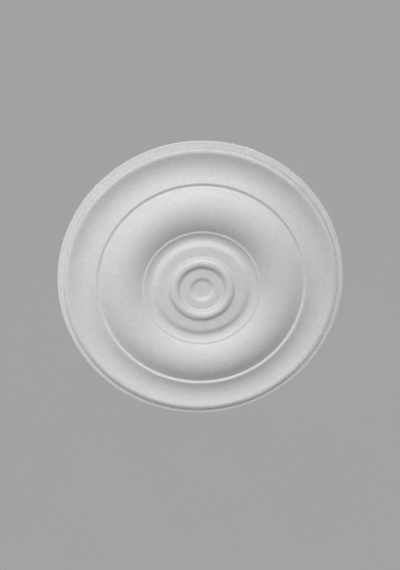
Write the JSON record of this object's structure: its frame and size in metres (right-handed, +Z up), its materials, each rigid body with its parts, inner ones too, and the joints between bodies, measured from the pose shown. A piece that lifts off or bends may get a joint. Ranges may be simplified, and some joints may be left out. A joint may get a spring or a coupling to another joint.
{
  "type": "ceiling rose",
  "caption": "Round ceiling rose with a flat back and a turned face: middle dish, round bead, hollow, broad swell, cove and stepped rim.",
  "frame": {"origin": "centre of the flat back, where the rose lies against the ceiling", "axes": "+Z up into the ceiling, along the axis that the form is turned about; the ornament faces -Z, +X is the picture's right and -Y is the picture's top"},
  "size_m": [0.5, 0.5, 0.0181],
  "materials": {
    "white_foam": "fine-grained matte white foam"
  },
  "bodies": {
    "root": {"ceiling_rose": "white_foam"}
  },
  "joints": []
}
